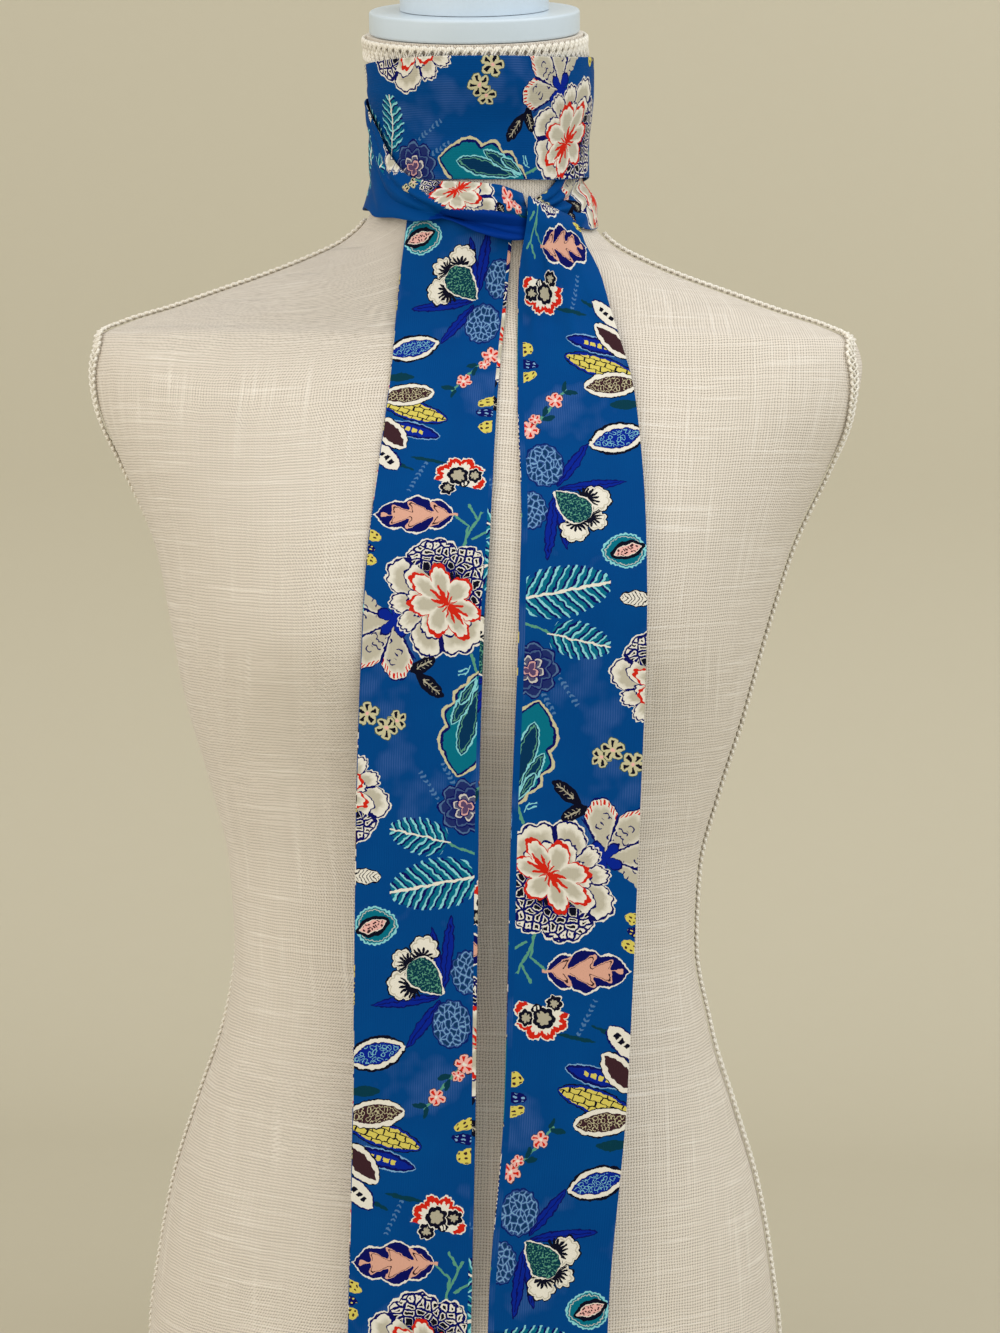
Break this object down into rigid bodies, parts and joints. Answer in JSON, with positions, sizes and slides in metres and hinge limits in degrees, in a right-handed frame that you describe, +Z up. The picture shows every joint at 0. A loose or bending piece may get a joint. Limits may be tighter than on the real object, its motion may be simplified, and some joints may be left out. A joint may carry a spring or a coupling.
{
  "type": "skinny scarf on a limbless dress form",
  "caption": "Long narrow printed scarf wound round the neck of a linen dress form and tied in a half knot, with both ends hanging.",
  "frame": {"origin": "middle of the flat face that the dress form stands on", "axes": "+Z up, -Y the front of the form, where the scarf is tied, +X the right side as seen from the front"},
  "size_m": [0.3836, 0.219, 0.7607],
  "materials": {
    "scarf_cloth": "light satin chiffon, bright blue ground with a many-coloured flower and leaf print, soft sheen",
    "linen_cover": "open natural linen weave with slubs, matte",
    "gimp_braid": "cream rayon gimp braid of looped cords, soft sheen",
    "cap_paint": "smooth white satin paint"
  },
  "bodies": {
    "root": {"form_body": "linen_cover", "neck_braid": "gimp_braid", "neck_cap": "cap_paint", "neck_knob": "cap_paint", "scarf_front_band": "scarf_cloth", "scarf_knot": "scarf_cloth", "scarf_tail_left": "scarf_cloth", "scarf_tail_right": "scarf_cloth", "scarf_turn_left": "scarf_cloth", "scarf_turn_right": "scarf_cloth", "shoulder_braid_left": "gimp_braid", "shoulder_braid_right": "gimp_braid", "side_braid_left": "gimp_braid", "side_braid_right": "gimp_braid"}
  },
  "joints": []
}
